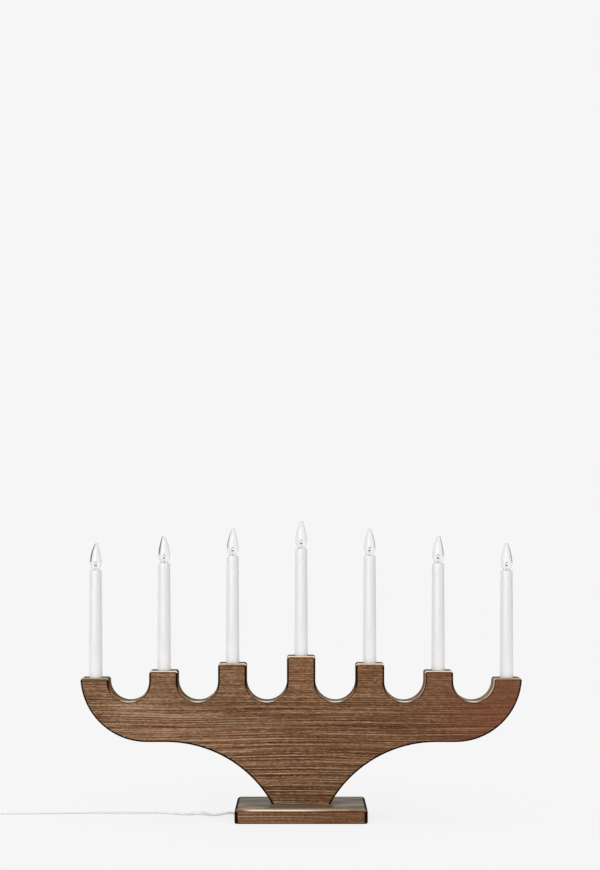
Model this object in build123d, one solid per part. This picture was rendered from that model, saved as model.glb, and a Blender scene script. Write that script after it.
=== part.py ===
from build123d import *
import os
from math import asin, atan2, cos, degrees, hypot, pi, radians, sin, sqrt, tan

# Wooden stand: one shaped board on one plank, sizes in millimetres
candle_count = 7
candle_pitch = 82.4
board_thickness = 28.0
board_edge_round = 2.4
post_width = 34.0
post_step = 8.8
post_corner_round = 3.0
outer_wall_height = 3.45
beam_depth = 48.8
stem_height = 74.0
foot_width = 69.5
arm_end_radius = 79.5
arm_flat_length = 23.2
base_length = 157.0
base_depth = 90.0
base_thickness = 18.0
base_edge_round = 4.5
base_foot_round = 1.5

# Candle sleeve with a spigot that plugs into the post
sleeve_length = 128.7
sleeve_foot_radius = 8.15
sleeve_top_radius = 7.25
sleeve_wall = 1.2
sleeve_rim_round = 0.5
spigot_radius = 6.5
spigot_length = 18.0
spigot_end_gap = 1.0
wire_bore_radius = 4.75

# Lamp holder, its thread shell and its spring contact
holder_top_drop = 0.8
holder_length = 14.7
holder_floor = 2.0
shell_top_drop = 1.3
shell_length = 8.7
shell_wall = 0.35
spring_thickness = 0.4
spring_width = 4.0
spring_foot_length = 6.0
spring_tongue_length = 4.4

# Screw-in flame bulb
cap_radius = 4.75
cap_wall = 0.35
cap_top_drop = 1.0
cap_thread_length = 6.8
cap_cone_height = 1.2
cap_end_radius = 3.4
contact_radius = 2.0
contact_button_radius = 2.9
contact_button_height = 0.7
contact_stem_height = 1.0
glass_wall = 0.6
glass_neck_radius = 4.3
glass_neck_depth = 6.0
glass_belly_radius = 7.2
glass_belly_height = 11.0
glass_shoulder_height = 0.4
glass_shoulder_arc = 28.0
glass_flame_arc = 38.0
glass_crown_radius = 1.4
glass_crown_round = 1.7
stem_plug_height = 1.5
lead_radius = 0.3
lead_spread = 1.3
bead_radius = 1.1
bead_height = 6.1
filament_foot_height = 9.2
filament_peak_height = 10.4
filament_radius = 0.25

# Wiring grooves in the back of the board and under the plank
groove_width = 8.0
groove_drop = 10.5
groove_lift = 20.0
groove_lean = 16.0
wire_hole_radius = 3.0
groove_floor_gap = 0.5
cover_width = 18.0
cover_thickness = 3.0
wire_radius = 0.8
wire_spread = 1.6
wire_bend = 4.0
wire_split_drop = 8.0
cord_groove_width = 7.0
cord_groove_depth = 7.0
cord_bend = 6.0
bush_length = 8.0
bush_lip = 1.0
bush_lip_width = 9.0
clip_length = 10.0
clip_width = 15.0
clip_thickness = 1.2
clip_place = 30.0

# Screws
base_screw_spread = 20.0
base_screw_y = -7.0
base_screw_head = 4.5
base_screw_shank = 2.0
base_screw_length = 45.0
cover_screw_head = 2.5
cover_screw_shank = 1.25
cover_screw_length = 12.0
cover_screw_edge = 2.6
screw_tip_length = 4.0

# Mains cord, its coil, tie and flat two-pin plug
cord_radius = 1.8
coil_turn_step = 5.4
coil_inner_radius = 18.4
coil_turns_in = 2.75
coil_turns_out = 3.75
tie_width = 8.0
tie_thickness = 0.8
plug_length = 36.0
plug_width = 35.3
plug_thickness = 14.0
plug_neck_width = 17.0
plug_nose_length = 14.0
plug_edge_round = 2.5
plug_sleeve_length = 30.0
plug_sleeve_radius = 4.6
plug_sleeve_end_radius = 2.9
pin_radius = 2.0
pin_length = 19.0
pin_spread = 18.6
pin_root = 6.0
pin_root_radius = 1.7

# Clearances
fit_gap = 0.05
rest_gap = 0.3
overrun = 2.0

# Largest part of a wall that a rounding may take
round_limit_share = 0.9

# Levels and places that follow from the sizes above
end_rank = (candle_count - 1) / 2
candle_xs = [(index - end_rank) * candle_pitch for index in range(candle_count)]
overall_width = candle_xs[-1] - candle_xs[0] + post_width
notch_radius = (candle_pitch - post_width) / 2
beam_under_z = base_thickness + stem_height
notch_floor_z = beam_under_z + beam_depth
notch_centre_z = notch_floor_z + notch_radius
groove_z = notch_floor_z - groove_drop
board_back = board_thickness / 2
groove_floor_y = -wire_hole_radius - groove_floor_gap
feed_y = (groove_floor_y + board_back) / 2
holder_radius = sleeve_top_radius - sleeve_wall - fit_gap
holder_end = -holder_top_drop - holder_length
holder_floor_z = holder_end + holder_floor
cap_end = -cap_top_drop - cap_thread_length - cap_cone_height
contact_top = cap_end + contact_stem_height
contact_end = cap_end - rest_gap - contact_button_height
shell_radius = cap_radius + 2 * fit_gap
cord_exit_x = -base_length / 2 - bush_lip
cord_exit_z = cord_groove_depth / 2
inner_cord_top = groove_z - wire_split_drop
coil_low_z = cord_radius + tie_thickness + rest_gap
coil_high_z = plug_thickness / 2
coil_outer_radius = coil_inner_radius + coil_turn_step * coil_turns_in
climb_turns = 0.5
dip_turns = 0.8
coil_turns = coil_turns_in + climb_turns + coil_turns_out

# Route of the free cord, from the bush to the start of the coil
cord_route = [
    (cord_exit_x, feed_y, cord_exit_z),
    (-96.0, feed_y, cord_exit_z),
    (-119.0, 7.6, 1.9),
    (-147.0, 13.6, 1.8),
    (-181.0, 20.6, 1.8),
    (-220.0, 25.2, 1.8),
    (-262.0, 26.0, 1.8),
    (-304.0, 23.4, 1.8),
    (-345.0, 20.0, 1.8),
    (-380.0, 18.6, coil_low_z),
    (-410.0, 18.6, coil_low_z),
]
coil_start = cord_route[-1]
coil_x = coil_start[0] - 2 * cord_radius
coil_y = coil_start[1] + coil_outer_radius


def post_top(x):
    rank = abs(x) / candle_pitch
    return notch_centre_z + outer_wall_height + post_step * (end_rank - rank)


def sleeve_top(x):
    return post_top(x) + sleeve_length


def rod(radius, low, high):
    return Pos(0, 0, low) * Cylinder(radius, high - low, align=(Align.CENTER, Align.CENTER, Align.MIN))


def turned(points):
    return revolve(Plane.XZ * make_face(Polyline(*points, close=True)), Axis.Z)


def tube(path, radius):
    return sweep(Plane(path @ 0, z_dir=path % 0) * Circle(radius), path=path)


def stroke(points, width):
    face = Sketch()
    for a, b in zip(points, points[1:]):
        middle = Pos((a[0] + b[0]) / 2, (a[1] + b[1]) / 2)
        turn = degrees(atan2(b[1] - a[1], b[0] - a[0]))
        face += middle * Rot(0, 0, turn) * SlotCenterToCenter(hypot(b[0] - a[0], b[1] - a[1]), width)
    return face


def backward(face, front_y, back_y):
    return extrude(Plane.XZ.offset(-front_y) * face, amount=front_y - back_y)


def wood_screw(head, shank, length, grow):
    screw = turned([
        (0, 0),
        (head + grow, 0),
        (shank + grow, shank - head),
        (shank + grow, screw_tip_length - length),
        (0, -length),
    ])
    return screw + rod(head + grow, 0, overrun) if grow else screw


# Arch board
def board_outline():
    arm_x = overall_width / 2 - arm_end_radius
    flat_x = arm_x - arm_flat_length
    foot_x = foot_width / 2
    under_run = flat_x - foot_x
    under_radius = (under_run**2 + stem_height**2) / (2 * stem_height)
    under_z = beam_under_z - under_radius
    under_turn = (pi / 2 + atan2(base_thickness - under_z, -under_run)) / 2
    arm_z = beam_under_z + arm_end_radius
    tip_turn = -asin((arm_z - post_top(candle_xs[-1])) / arm_end_radius)
    arm_turn = (tip_turn - pi / 2) / 2
    tip_x = arm_x + arm_end_radius * cos(tip_turn)
    with BuildSketch() as outline:
        with BuildLine():
            Line((-foot_x, base_thickness), (foot_x, base_thickness))
            for side in (-1, 1):
                ThreePointArc(
                    (side * foot_x, base_thickness),
                    (side * (flat_x + under_radius * cos(under_turn)), under_z + under_radius * sin(under_turn)),
                    (side * flat_x, beam_under_z),
                )
                Line((side * flat_x, beam_under_z), (side * arm_x, beam_under_z))
                ThreePointArc(
                    (side * arm_x, beam_under_z),
                    (side * (arm_x + arm_end_radius * cos(arm_turn)), arm_z + arm_end_radius * sin(arm_turn)),
                    (side * tip_x, post_top(candle_xs[-1])),
                )
            for x in candle_xs:
                left = -tip_x if x == candle_xs[0] else x - post_width / 2
                right = tip_x if x == candle_xs[-1] else x + post_width / 2
                Line((left, post_top(x)), (right, post_top(x)))
            for a, b in zip(candle_xs, candle_xs[1:]):
                left = a + post_width / 2
                right = b - post_width / 2
                Line((left, post_top(a)), (left, notch_centre_z))
                ThreePointArc((left, notch_centre_z), ((a + b) / 2, notch_floor_z), (right, notch_centre_z))
                Line((right, notch_centre_z), (right, post_top(b)))
        make_face()
        corners = outline.vertices().filter_by(lambda corner: corner.Y > notch_centre_z + outer_wall_height / 2)
        fillet(corners, min(post_corner_round, outer_wall_height * round_limit_share))
    return outline.sketch


def groove_line():
    end_x = candle_xs[-1]
    return [
        (-end_x, groove_z + groove_lift),
        (groove_lean - end_x, groove_z),
        (end_x - groove_lean, groove_z),
        (end_x, groove_z + groove_lift),
    ]


def cover_screw_places():
    edge = cover_width / 2 - cover_screw_edge
    middles = [(a + b) / 2 for a, b in zip(candle_xs, candle_xs[1:])]
    places = [(x, groove_z - edge) for x in middles[::2] + middles[-1:]]
    stem_low = base_thickness + stem_height / 4
    stem_high = beam_under_z
    return places + [(edge, stem_low), (-edge, stem_high)]


def cover_screw(grow):
    return Rot(-90, 0, 0) * wood_screw(cover_screw_head, cover_screw_shank, cover_screw_length, grow)


def base_screw(grow):
    return Rot(180, 0, 0) * wood_screw(base_screw_head, base_screw_shank, base_screw_length, grow)


def arch_board():
    board = backward(board_outline(), -board_back, board_back)
    broad_faces = board.faces().sort_by(Axis.Y)
    rim = broad_faces[0].edges() + broad_faces[-1].edges()
    board = fillet([edge for edge in rim if edge.center().Z > base_thickness + board_edge_round], board_edge_round)
    for x in candle_xs:
        bore_floor = post_top(x) - spigot_length - spigot_end_gap
        board -= Pos(x, 0, 0) * rod(spigot_radius + fit_gap, bore_floor, post_top(x) + overrun)
        hole_floor = groove_z + groove_lift if abs(x) == candle_xs[-1] else groove_z
        board -= Pos(x, 0, 0) * rod(wire_hole_radius, hole_floor, bore_floor + overrun)
    stem_line = [(0, groove_z), (0, base_thickness - cover_width)]
    for line in (groove_line(), stem_line):
        board -= backward(stroke(line, groove_width), groove_floor_y, board_back + overrun)
        rebate = stroke(line, cover_width + 2 * fit_gap)
        board -= backward(rebate, board_back - cover_thickness, board_back + overrun)
    for x, z in cover_screw_places():
        board -= Pos(x, board_back, z) * cover_screw(fit_gap)
    for side in (-1, 1):
        board -= Pos(side * base_screw_spread, base_screw_y, 0) * base_screw(fit_gap)
    return board


def screwed(cover, places):
    for x, z in places:
        cover -= Pos(x, board_back, z) * cover_screw(fit_gap)
    return cover


def crossbar_cover():
    strip = backward(stroke(groove_line(), cover_width), board_back - cover_thickness, board_back)
    return screwed(strip, cover_screw_places()[:-2])


def stem_cover():
    top = groove_z - cover_width / 2 - fit_gap
    strip = Pos(0, board_back - cover_thickness / 2, (base_thickness + top) / 2) * Box(
        cover_width, cover_thickness, top - base_thickness
    )
    return screwed(strip, cover_screw_places()[-2:])


# Base plank with the cord groove in its underside
def base_plate():
    plate = Pos(0, 0, base_thickness / 2) * Box(base_length, base_depth, base_thickness)
    plate = fillet(plate.edges().filter_by(Axis.Z), base_edge_round)
    plate = fillet(plate.faces().sort_by(Axis.Z)[-1].edges(), base_edge_round)
    plate = fillet(plate.faces().sort_by(Axis.Z)[0].edges(), base_foot_round)
    run = base_length / 2 + overrun
    plate -= Pos(-run / 2, feed_y, (cord_groove_depth - overrun) / 2) * Box(
        run, cord_groove_width, cord_groove_depth + overrun
    )
    plate -= Pos(0, feed_y, 0) * rod(groove_width / 2, -overrun, base_thickness + overrun)
    plate -= Pos(-clip_place, feed_y, (clip_thickness - overrun) / 2) * Box(
        clip_length + 2 * fit_gap, clip_width + 2 * fit_gap, clip_thickness + overrun
    )
    for side in (-1, 1):
        plate -= Pos(side * base_screw_spread, base_screw_y, 0) * base_screw(fit_gap)
    return plate


def cord_bush():
    high = cord_groove_depth - fit_gap
    inner_x = -base_length / 2 + bush_length
    bush = Pos((cord_exit_x + inner_x) / 2, feed_y, (high + fit_gap) / 2) * Box(
        inner_x - cord_exit_x, cord_groove_width - 2 * fit_gap, high - fit_gap
    )
    lip = Pos(cord_exit_x + bush_lip / 2, feed_y, (bush_lip_width + fit_gap) / 2) * Box(
        bush_lip, bush_lip_width, bush_lip_width - fit_gap
    )
    bore = Pos(0, feed_y, cord_exit_z) * Rot(0, 90, 0) * rod(cord_radius + fit_gap, -base_length, 0)
    return bush + lip - bore


def cord_clip():
    plate = Pos(-clip_place, feed_y, clip_thickness / 2) * Box(clip_length, clip_width, clip_thickness)
    return fillet(plate.edges().filter_by(Axis.Z), clip_thickness)


# Wiring
def inner_cord():
    path = FilletPolyline(
        (cord_exit_x, feed_y, cord_exit_z),
        (0, feed_y, cord_exit_z),
        (0, feed_y, inner_cord_top),
        radius=cord_bend,
    )
    return tube(path, cord_radius)


def riser(candle_x, shift, lane_y):
    x = candle_x + shift
    top = (x, 0, sleeve_top(candle_x) + holder_end)
    if abs(candle_x) < candle_xs[-1]:
        return [top, (x, 0, groove_z)]
    lean_x = x - groove_lean if x > 0 else x + groove_lean
    return [top, (x, 0, groove_z + groove_lift + 2 * wire_radius), (lean_x, lane_y, groove_z)]


def link_wires():
    routes = []
    for side in (-1, 1):
        split_x = side * (wire_radius + fit_gap)
        split = [(split_x, feed_y, inner_cord_top), (split_x, feed_y, groove_z)]
        routes.append(split + riser(side * candle_xs[-1], side * wire_spread, feed_y)[::-1])
    for a, b in zip(candle_xs, candle_xs[1:]):
        routes.append(riser(a, wire_spread, 0) + riser(b, -wire_spread, 0)[::-1])
    return Compound(children=[tube(FilletPolyline(*route, radius=wire_bend), wire_radius) for route in routes])


# Candle sleeves and lamp holders, drawn below their rim at the origin
def candle_sleeve():
    spigot_end = -sleeve_length - spigot_length
    seat_radius = holder_radius + fit_gap
    sleeve = turned([
        (seat_radius, 0),
        (sleeve_top_radius, 0),
        (sleeve_foot_radius, -sleeve_length),
        (spigot_radius, -sleeve_length),
        (spigot_radius, spigot_end),
        (wire_bore_radius, spigot_end),
        (wire_bore_radius, holder_end),
        (seat_radius, holder_end),
    ])
    rim = sleeve.faces().sort_by(Axis.Z)[-1].edges()
    return fillet(rim, min(sleeve_rim_round, sleeve_wall * round_limit_share / 2))


def lamp_holder():
    bore = shell_radius + shell_wall + fit_gap
    return turned([
        (0, holder_end),
        (holder_radius, holder_end),
        (holder_radius, -holder_top_drop),
        (bore, -holder_top_drop),
        (bore, holder_floor_z),
        (0, holder_floor_z),
    ])


def thread_shell():
    low = -shell_top_drop - shell_length
    return rod(shell_radius + shell_wall, low, -shell_top_drop) - rod(shell_radius, low - overrun, overrun)


def spring_contact():
    half = spring_foot_length / 2
    low = holder_floor_z + spring_thickness / 2
    high = contact_end - rest_gap - spring_thickness / 2
    leaf = [(-half, low), (half, low), (half - spring_tongue_length, high), (half, high)]
    return backward(stroke(leaf, spring_thickness), -spring_width / 2, spring_width / 2)


# Flame bulb, drawn with the rim of its sleeve at the origin
def glass_solid(inset, neck_end):
    shoulder_x = glass_belly_radius - glass_shoulder_arc
    flame_x = glass_belly_radius - glass_flame_arc
    shoulder_r = glass_shoulder_arc - inset
    flame_r = glass_flame_arc - inset
    crown_drop = glass_belly_radius - glass_crown_radius
    crown_rise = sqrt(glass_flame_arc**2 - (glass_flame_arc - crown_drop) ** 2)
    crown = glass_belly_height + crown_rise - 2 * inset
    neck = glass_neck_radius - inset

    def swell(centre, radius, height):
        return centre + sqrt(radius**2 - (height - glass_belly_height) ** 2)

    def on_shoulder(height):
        return (swell(shoulder_x, shoulder_r, height), height)

    def on_flame(height):
        return (swell(flame_x, flame_r, height), height)

    belly = on_shoulder(glass_belly_height)
    shoulder_middle = (glass_shoulder_height + glass_belly_height) / 2
    flame_middle = (glass_belly_height + crown) / 2
    with BuildSketch(Plane.XZ) as section:
        with BuildLine():
            Polyline((0, crown), (0, neck_end), (neck, neck_end), (neck, -cap_top_drop),
                     on_shoulder(glass_shoulder_height))
            ThreePointArc(on_shoulder(glass_shoulder_height), on_shoulder(shoulder_middle), belly)
            ThreePointArc(belly, on_flame(flame_middle), on_flame(crown))
            Line(on_flame(crown), (0, crown))
        make_face()
        top_corners = section.vertices().filter_by(lambda corner: corner.Y > flame_middle)
        fillet(top_corners.sort_by(Axis.X)[-1], glass_crown_round - inset)
    return revolve(section.sketch, Axis.Z)


def bulb_glass():
    return glass_solid(0, -glass_neck_depth) - glass_solid(glass_wall, -glass_neck_depth - overrun)


def bulb_cap():
    top = -cap_top_drop
    inner = cap_radius - cap_wall
    shelf = cap_end + cap_wall
    thread_end = top - cap_thread_length
    hole = contact_radius + fit_gap
    return turned([
        (cap_radius, top),
        (cap_radius, thread_end),
        (cap_end_radius, cap_end),
        (hole, cap_end),
        (hole, shelf),
        (cap_end_radius - cap_wall / 2, shelf),
        (inner, thread_end + cap_wall / 2),
        (inner, top),
    ])


def bulb_contact():
    button_top = contact_end + contact_button_height
    return rod(contact_radius, contact_end, contact_top) + rod(contact_button_radius, contact_end, button_top)


def filament():
    plug_low = -glass_neck_depth
    plug_top = plug_low + stem_plug_height
    mount = rod(glass_neck_radius - glass_wall - fit_gap, plug_low, plug_top)
    mount += Pos(0, 0, bead_height) * Rot(0, 90, 0) * rod(bead_radius, -lead_spread, lead_spread)
    peak = (0, 0, filament_peak_height)
    feet = [(side * lead_spread, 0, filament_foot_height) for side in (-1, 1)]
    for side in (-1, 1):
        mount += Pos(side * lead_spread, 0, 0) * rod(lead_radius, plug_top, filament_foot_height)
        mount += Pos(side * lead_spread, 0, filament_foot_height) * Sphere(lead_radius)
    return mount + tube(ThreePointArc(feet[0], peak, feet[1]), filament_radius)


# Cord along the table
def turn_between(a, b, c):
    return (Vector(b) - Vector(a)).get_angle(Vector(c) - Vector(b))


def power_cord():
    radii = []
    run_share = 0.45
    for a, b, c in zip(cord_route, cord_route[1:], cord_route[2:]):
        shorter = min((Vector(b) - Vector(a)).length, (Vector(c) - Vector(b)).length)
        radii.append(run_share * shorter / tan(radians(turn_between(a, b, c)) / 2))
    path = FilletPolyline(*cord_route, radius=radii)
    print("cord radii", [round(radius) for radius in radii])
    cord = tube(path, cord_radius)
    print("cord volume", round(cord.volume), "section by length", round(pi * cord_radius**2 * path.length))
    return cord, path.length


# Coil: two layers, spiralling in along the table and out again above
def coil_radius(turns):
    past = turns - coil_turns_in
    if past <= 0:
        return coil_inner_radius - coil_turn_step * past
    if past >= climb_turns:
        return coil_inner_radius + coil_turn_step * (past - climb_turns)
    return coil_inner_radius - coil_turn_step * past * (1 - past / climb_turns)


def coil_height(turns):
    climb = min(max((turns - coil_turns_in) / climb_turns, 0), 1)
    dip = min(max((turns - coil_turns) / dip_turns + 1, 0), 1)
    lift_share = (1 - cos(pi * climb)) / 2 - sin(pi * dip) ** 2
    return coil_low_z + (coil_high_z - coil_low_z) * lift_share


def coil_point(turns):
    angle = -pi / 2 - 2 * pi * turns
    radius = coil_radius(turns)
    return Vector(coil_x + radius * cos(angle), coil_y + radius * sin(angle), coil_height(turns))


def coil_heading(turns):
    if turns in (0, coil_turns):
        return Vector(-1, 0, 0)
    step = 1e-4
    return (coil_point(turns + step) - coil_point(turns - step)).normalized()


def biarc(start, start_way, end, end_way):
    span = end - start
    both = start_way + end_way
    spread = 2 * (1 - start_way.dot(end_way))
    reach = (sqrt(span.dot(both) ** 2 + spread * span.dot(span)) - span.dot(both)) / spread
    first = start + start_way * reach
    second = end - end_way * reach
    middle = (first + second) / 2
    middle_way = (second - first).normalized()
    return [TangentArc(start, middle, tangent=start_way), TangentArc(middle, end, tangent=middle_way)]


def coil_path():
    quarter = 0.25
    marks = [quarter * step for step in range(round(coil_turns / quarter) + 1)]
    lead = Vector(-2 * cord_radius, 0, 0)
    edges = [Line(Vector(coil_start), Vector(coil_start) + lead)]
    for a, b in zip(marks, marks[1:]):
        edges += biarc(coil_point(a), coil_heading(a), coil_point(b), coil_heading(b))
    edges.append(Line(coil_point(coil_turns), coil_point(coil_turns) + lead))
    return Wire(edges)


def coil_gap(path):
    samples = 1400
    points = [path @ (index / samples) for index in range(samples + 1)]
    apart = int(samples * coil_inner_radius / path.length)
    least = min(
        (points[a] - points[b]).length
        for a in range(samples + 1)
        for b in range(a + apart, min(a + samples // 4, samples + 1))
    )
    return least - 2 * cord_radius


def cord_coil():
    path = coil_path()
    coil = tube(path, cord_radius)
    print("coil least gap", round(coil_gap(path), 2), "length", round(path.length))
    print("coil volume", round(coil.volume), "section by length", round(pi * cord_radius**2 * path.length))
    return coil, path.length


def cord_tie():
    back_turns = [0.5 + turn for turn in range(int(coil_turns))]
    radii = [coil_radius(turns) for turns in back_turns]
    bow = max(radii) - sqrt(max(radii) ** 2 - (tie_width / 2) ** 2)
    near = min(radii) - cord_radius - rest_gap - 2 * bow
    far = max(radii) + cord_radius + rest_gap
    low = tie_thickness
    high = coil_high_z + cord_radius + rest_gap
    hollow = Box(tie_width + overrun, far - near, high - low)
    band = Box(tie_width, far - near + 2 * tie_thickness, high - low + 2 * tie_thickness)
    band = fillet(band.edges().filter_by(Axis.X), 2 * tie_thickness)
    return Pos(coil_x, coil_y + (near + far) / 2, (low + high) / 2) * (band - hollow)


# Plug lying beside the coil, its pins pointing away from the cord
def plug_place():
    return Pos(coil_point(coil_turns) + Vector(-2 * cord_radius, 0, 0)) * Rot(0, -90, 0)


def plug_body():
    root = plug_sleeve_length
    face = root + plug_length
    half = plug_width / 2
    shoulder = root + plug_nose_length
    outline = Polyline(
        (-plug_neck_width / 2, root),
        (-half, shoulder),
        (-half, face),
        (half, face),
        (half, shoulder),
        (plug_neck_width / 2, root),
        close=True,
    )
    block = extrude(Plane.YZ * make_face(outline), amount=plug_thickness / 2, both=True)
    block = fillet(block.edges(), plug_edge_round)
    sleeve = turned([
        (0, 0),
        (plug_sleeve_end_radius, 0),
        (plug_sleeve_radius, root + plug_edge_round),
        (0, root + plug_edge_round),
    ])
    body = block + sleeve
    for side in (-1, 1):
        body -= Pos(0, side * pin_spread / 2, 0) * rod(pin_root_radius + fit_gap, face - pin_root, face + overrun)
    return plug_place() * body


def plug_pins():
    face = plug_sleeve_length + plug_length
    pin = rod(pin_radius, face + rest_gap, face + pin_length)
    pin = fillet(pin.edges().sort_by(Axis.Z)[-1], pin_radius * round_limit_share)
    pin += rod(pin_root_radius, face - pin_root, face + rest_gap)
    return plug_place() * Compound(children=[Pos(0, side * pin_spread / 2, 0) * pin for side in (-1, 1)])


def at_lamps(piece):
    return Compound(children=[Pos(x, 0, sleeve_top(x)) * piece for x in candle_xs])


def screws():
    base = [Pos(side * base_screw_spread, base_screw_y, 0) * base_screw(0) for side in (-1, 1)]
    cover = [Pos(x, board_back, z) * cover_screw(0) for x, z in cover_screw_places()]
    return {"base_screws": Compound(children=base), "cover_screws": Compound(children=cover)}


def lights():
    nodes = {}
    for number, x in enumerate(candle_xs, 1):
        place = Pos(x, 0, sleeve_top(x))
        nodes[f"candle_sleeve_{number}"] = place * candle_sleeve()
        nodes[f"lamp_holder_{number}"] = place * lamp_holder()
        nodes[f"bulb_glass_{number}"] = place * bulb_glass()
        nodes[f"bulb_cap_{number}"] = place * bulb_cap()
        nodes[f"bulb_contact_{number}"] = place * bulb_contact()
        nodes[f"filament_{number}"] = place * filament()
    return nodes


def main():
    cord, cord_length = power_cord()
    coil, coil_length = cord_coil()
    print("cord outside the stand", round(cord_length + coil_length))
    nodes = {
        "arch_board": arch_board(),
        "base_plate": base_plate(),
        "crossbar_cover": crossbar_cover(),
        "stem_cover": stem_cover(),
        "link_wires": link_wires(),
        "inner_cord": inner_cord(),
        "cord_bush": cord_bush(),
        "cord_clip": cord_clip(),
        "power_cord": cord,
        "cord_coil": coil,
        "cord_tie": cord_tie(),
        "plug_body": plug_body(),
        "plug_pins": plug_pins(),
        "thread_shells": at_lamps(thread_shell()),
        "spring_contacts": at_lamps(spring_contact()),
    }
    nodes.update(screws())
    nodes.update(lights())
    os.makedirs("parts", exist_ok=True)
    for name, shape in nodes.items():
        export_step(shape, f"parts/{name}.step")
    print(len(nodes), "nodes")


main()
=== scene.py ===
import bpy
import bmesh
from math import acos, asin, cos, degrees, pi, radians, sin
from mathutils import Matrix, Vector


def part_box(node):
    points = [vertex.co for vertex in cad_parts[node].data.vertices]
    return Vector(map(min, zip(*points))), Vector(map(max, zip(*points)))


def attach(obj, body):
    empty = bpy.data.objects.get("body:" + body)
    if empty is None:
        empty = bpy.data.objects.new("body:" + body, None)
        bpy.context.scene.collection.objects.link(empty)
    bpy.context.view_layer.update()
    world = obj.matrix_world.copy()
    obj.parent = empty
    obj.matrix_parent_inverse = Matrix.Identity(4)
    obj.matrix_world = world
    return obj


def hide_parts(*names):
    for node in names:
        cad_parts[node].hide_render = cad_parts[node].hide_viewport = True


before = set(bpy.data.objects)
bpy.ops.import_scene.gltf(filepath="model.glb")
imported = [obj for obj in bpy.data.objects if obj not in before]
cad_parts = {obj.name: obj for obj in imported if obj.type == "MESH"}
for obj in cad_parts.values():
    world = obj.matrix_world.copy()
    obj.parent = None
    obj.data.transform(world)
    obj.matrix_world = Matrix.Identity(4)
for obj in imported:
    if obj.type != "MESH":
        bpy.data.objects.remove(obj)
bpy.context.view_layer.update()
scene = bpy.context.scene
mm = 0.001
weld = 0.002 * mm  # points nearer than this become one
candleCount = 7
print("frame loaded,", len(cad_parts), "nodes")


# Shader maths: one socket, with the operators that the finishes use
class Flow:
    def __init__(self, tree, socket=None):
        self.tree = tree
        self.socket = socket

    def node(self, kind, settings=None, sockets=None, output=0):
        made = self.tree.nodes.new(kind)
        for name, value in (settings or {}).items():
            if name == "stops":
                stops = made.color_ramp.elements
                while len(stops) < len(value):
                    stops.new(1.0)
                for stop, (place, level) in zip(stops, value):
                    stop.position = place
                    stop.color = (level, level, level, 1.0)
            else:
                setattr(made, name, value)
        for key, value in (sockets or {}).items():
            if isinstance(value, Flow):
                self.tree.links.new(value.socket, made.inputs[key])
            else:
                made.inputs[key].default_value = value
        return Flow(self.tree, made.outputs[output] if made.outputs else None)

    def maths(self, operation, *values):
        return self.node("ShaderNodeMath", {"operation": operation}, dict(enumerate(values)))

    def __add__(self, other):
        return self.maths("ADD", self, other)

    __radd__ = __add__

    def __sub__(self, other):
        return self.maths("SUBTRACT", self, other)

    def __rsub__(self, other):
        return self.maths("SUBTRACT", other, self)

    def __mul__(self, other):
        return self.maths("MULTIPLY", self, other)

    __rmul__ = __mul__

    def __truediv__(self, other):
        return self.maths("DIVIDE", self, other)

    def __rtruediv__(self, other):
        return self.maths("DIVIDE", other, self)

    def __abs__(self):
        return self.maths("ABSOLUTE", self)

    def between(self, low, high):  # 0 at low, 1 at high, eased
        return self.node("ShaderNodeMapRange", {"interpolation_type": "SMOOTHSTEP"},
                         {"Value": self, "From Min": low, "From Max": high})

    def ramp(self, stops):
        return self.node("ShaderNodeValToRGB", {"stops": stops}, {"Fac": self})

    def mix(self, first, second):  # this value mixes two colours
        first, second = [c if isinstance(c, Flow) else (*c, 1.0) for c in (first, second)]
        return self.node("ShaderNodeMix", {"data_type": "RGBA"}, {0: self, 6: first, 7: second}, 2)

    def shaders(self, first, second):  # this value mixes two shaders
        return self.node("ShaderNodeMixShader", None, {0: self, 1: first, 2: second})

    def vector(self, operation, *values, output=0):
        return self.node("ShaderNodeVectorMath", {"operation": operation}, dict(enumerate(values)), output)

    def part(self, axis):
        return self.node("ShaderNodeSeparateXYZ", None, {0: self}, axis)

    def noise(self, size, detail=2.0, roughness=0.55):  # size of a patch along each axis, in millimetres
        scaled = self.vector("MULTIPLY", self, [1 / (mm * side) for side in size])
        return self.node("ShaderNodeTexNoise", None,
                         {"Vector": scaled, "Scale": 1.0, "Detail": detail, "Roughness": roughness})

    def bump(self, depth, strength):  # this value is a height, depth in millimetres
        return self.node("ShaderNodeBump", None,
                         {"Height": self, "Distance": depth * mm, "Strength": strength})


def startFinish(name):
    finish = bpy.data.materials.new(name)
    finish.use_nodes = True
    finish.node_tree.nodes.clear()
    flow = Flow(finish.node_tree)
    return finish, flow, flow.node("ShaderNodeTexCoord", output="Object")


def endFinish(flow, sockets):
    shader = flow.node("ShaderNodeBsdfPrincipled", None, sockets)
    flow.node("ShaderNodeOutputMaterial", None, {"Surface": shader})


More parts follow.
